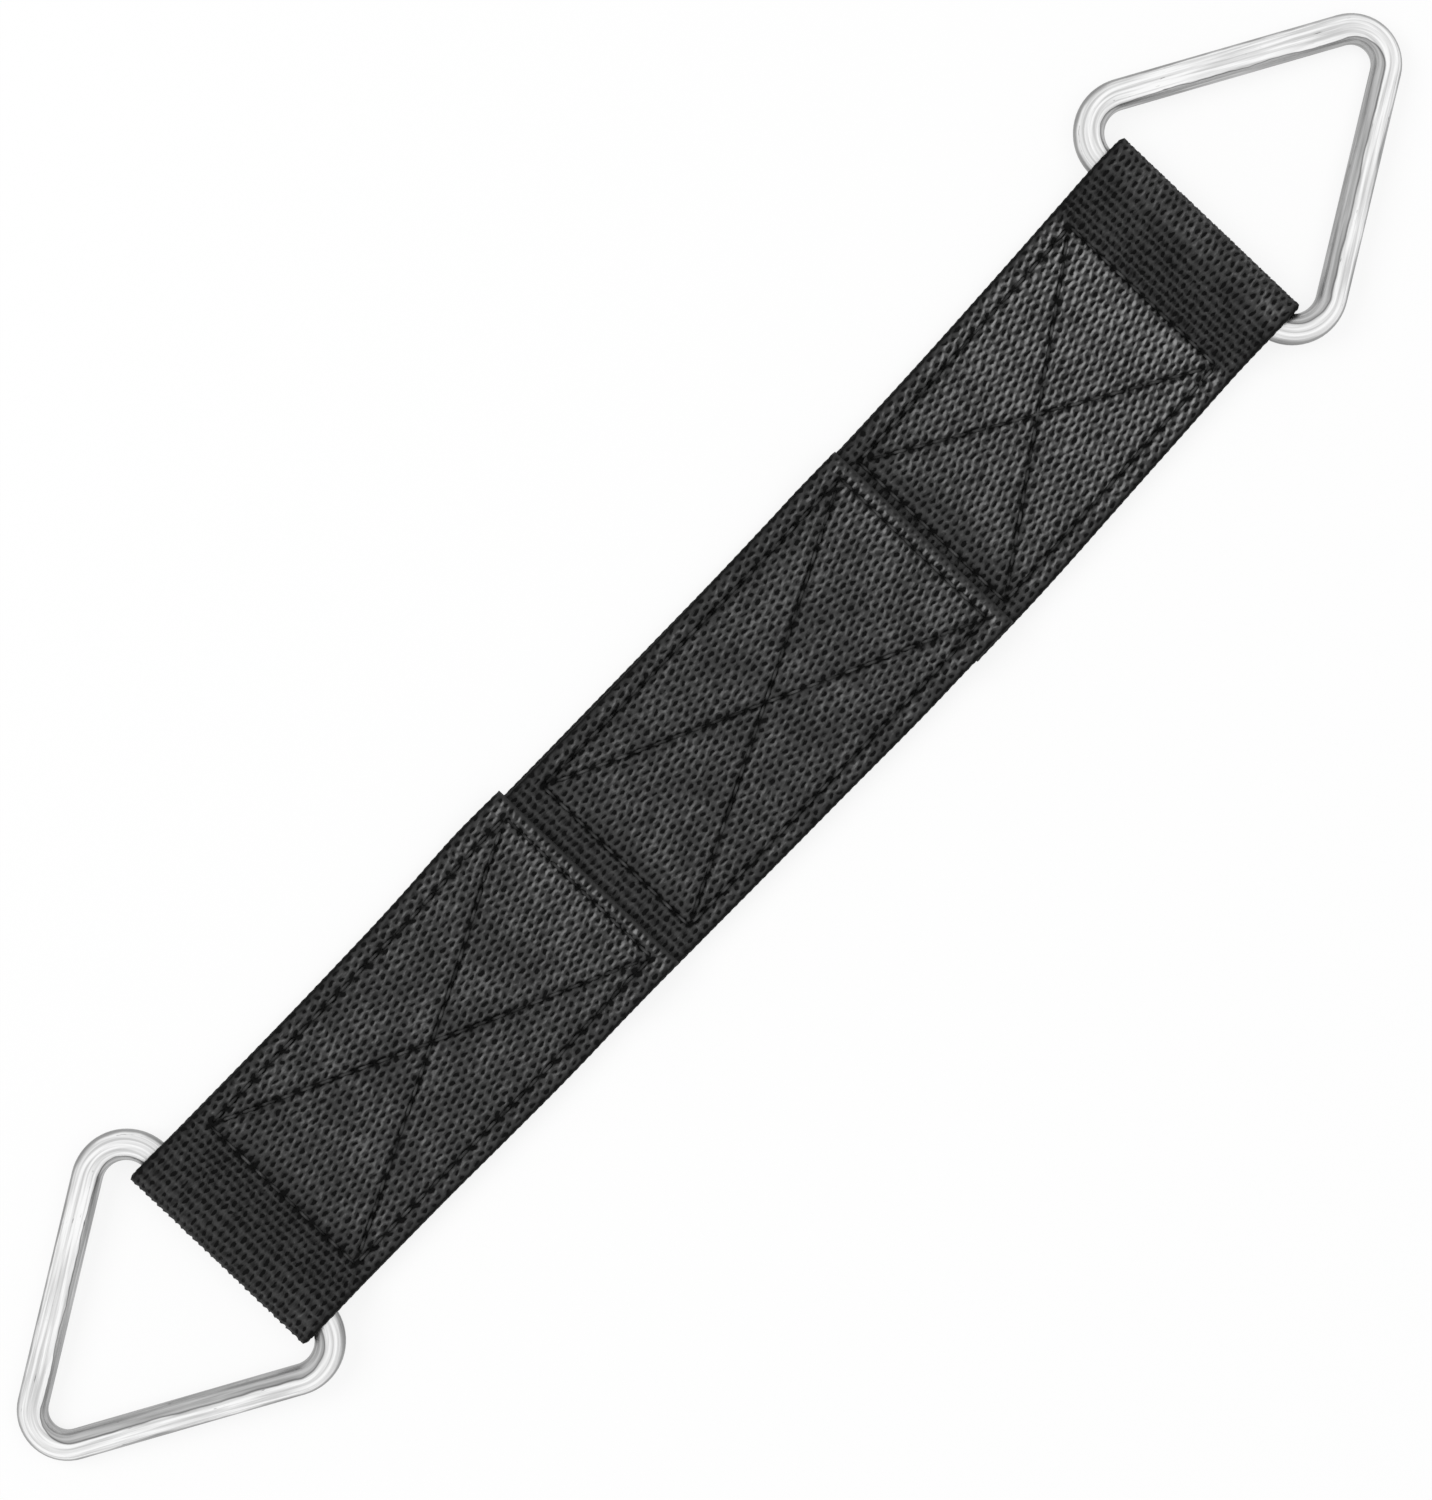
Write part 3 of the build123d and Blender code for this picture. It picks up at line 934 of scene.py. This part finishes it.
# painted shade on the inside of the triangle, with a dark painted line where it begins; it is narrow on one
# leg and broad on the other
place = add_node(tree, "ShaderNodeTexCoord").outputs["Object"]
leg = add_node(tree, "ShaderNodeSeparateXYZ", {0: place}).outputs[1]
broad = spread(tree, leg, 5 * MM, -7 * MM, 0.19, 0.44)
painted_inner_shade = colour_ramp(
    tree,
    math_node(tree, "DIVIDE", across, broad),
    (0.0, "#aeaeae"),
    (0.35, "#cbcbcb"),
    (0.74, "#c4c4c4"),
    (0.87, "#808080"),
    (0.96, "#f4f4f4"),
    (1.0, "#ffffff"),
)
# a thin grey outline on the outside, a painted reflection of the table's shade beside the wire
painted_outline = colour_ramp(tree, across, (0.0, "#ffffff"), (0.87, "#ffffff"), (0.92, "#b4b4b4"), (1.0, "#909090"))
tone = vector_node(tree, "MULTIPLY", painted_inner_shade, painted_outline)
level = spread(tree, streaks, 0.36, 0.62, 0.6, 0.96)
level = math_node(tree, "MULTIPLY", level, spread(tree, scratches, 0.69, 0.75, 1.0, 0.45))
tree.links.new(scaled(tree, tone, level), shader.inputs["Base Color"])
tree.links.new(spread(tree, streaks, 0.0, 1.0, 0.42, 0.28), shader.inputs["Roughness"])
shader.inputs["Metallic"].default_value = 1.0
print("zinc shader nodes:", len(tree.nodes))

# %% [markdown]
# ## Pieces ride on their bodies
#
# The webbing and its seams are the strap. Each ring is a body of its own, because it swings in its sleeve.

# %% Join the pieces to the frame
for piece, node, slot in (
    (main_webbing, "main_webbing", "webbing"),
    (middle_webbing, "middle_webbing", "webbing"),
    *((thread_piece, node_name, "thread") for node_name, thread_piece in threads.items()),
):
    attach(piece, "strap")
    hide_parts(node)
for piece, node in ((lower_ring, "lower_ring"), (upper_ring, "upper_ring")):
    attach(piece, node + "_body")
    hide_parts(node)
print("pieces on the strap:", 2 + len(threads), "and on rings of their own: 2")

# %% [markdown]
# ## Floor and light
#
# A white table, two large soft lamps and a white room. The camera, and the metal, see the table bleached as
# on a lightbox, with only a trace of the object's shadow. They see the room at full white too, while it
# lights the object at less than half of that. The lamps leave no glare on the metal.

# %% Floor
FLOOR_REACH = 9
BLEACHED = 0.82  # how much of the table's look is plain white


def seen_directly(tree):
    """1 for what the camera, a mirror or a glass looks at, and 0 for the light that falls on a surface."""
    rays = add_node(tree, "ShaderNodeLightPath").outputs
    seen = math_node(tree, "MAXIMUM", rays["Is Camera Ray"], rays["Is Glossy Ray"])
    return math_node(tree, "MAXIMUM", seen, rays["Is Transmission Ray"])


floor_mesh = bpy.data.meshes.new("floor")
floor_corners = [(x * FLOOR_REACH, y * FLOOR_REACH, 0) for x, y in ((-1, -1), (1, -1), (1, 1), (-1, 1))]
floor_mesh.from_pydata(floor_corners, [], [(0, 1, 2, 3)])
floor = bpy.data.objects.new("floor", floor_mesh)
bpy.context.scene.collection.objects.link(floor)
# matt white board, painted
floor_material = bpy.data.materials.new("white_table")
floor_mesh.materials.append(floor_material)
tree, shader = start_material(floor_material)
shader.inputs["Base Color"].default_value = linear("#fdfdfd")
shader.inputs["Roughness"].default_value = 0.9
shader.inputs["Specular IOR Level"].default_value = 0.0
white = result(tree, "ShaderNodeEmission", {"Color": linear("#ffffff"), "Strength": 1.0})
white_share = math_node(tree, "MULTIPLY", seen_directly(tree), BLEACHED)
bleached = result(tree, "ShaderNodeMixShader", {0: white_share, 1: shader.outputs[0], 2: white})
output = next(node for node in tree.nodes if node.bl_idname == "ShaderNodeOutputMaterial")
tree.links.new(bleached, output.inputs["Surface"])
print("floor, m:", 2 * FLOOR_REACH)


# %% Lamps and world
ROOM_LIGHT = 0.45  # how strongly the white room lights the object


def soft_lamp(name, place, size, power, target=(0, 0, 0)):
    """A square area lamp that points at a target and leaves no glare on the metal."""
    data = bpy.data.lights.new(name, "AREA")
    data.size = size
    data.energy = power
    lamp = bpy.data.objects.new(name, data)
    lamp.location = place
    lamp.rotation_euler = (Vector(target) - Vector(place)).to_track_quat("-Z", "Y").to_euler()
    lamp.visible_glossy = False
    bpy.context.scene.collection.objects.link(lamp)
    return lamp


lamps = [soft_lamp("key", (-0.5, 1.1, 1.5), 1.2, 14.5), soft_lamp("top", (0.3, -0.3, 1.8), 1.5, 11.0)]

world = bpy.data.worlds.new("studio")
bpy.context.scene.world = world
world.use_nodes = True
tree = world.node_tree
tree.nodes.clear()
room = result(tree, "ShaderNodeBackground", {"Color": linear("#ffffff"), "Strength": ROOM_LIGHT})
white_room = result(tree, "ShaderNodeBackground", {"Color": linear("#ffffff"), "Strength": 1.0})
mixed = result(tree, "ShaderNodeMixShader", {0: seen_directly(tree), 1: room, 2: white_room})
add_node(tree, "ShaderNodeOutputWorld", {"Surface": mixed})
bpy.context.scene.view_settings.view_transform = "Standard"
print("lamps, W:", [lamp.data.energy for lamp in lamps])
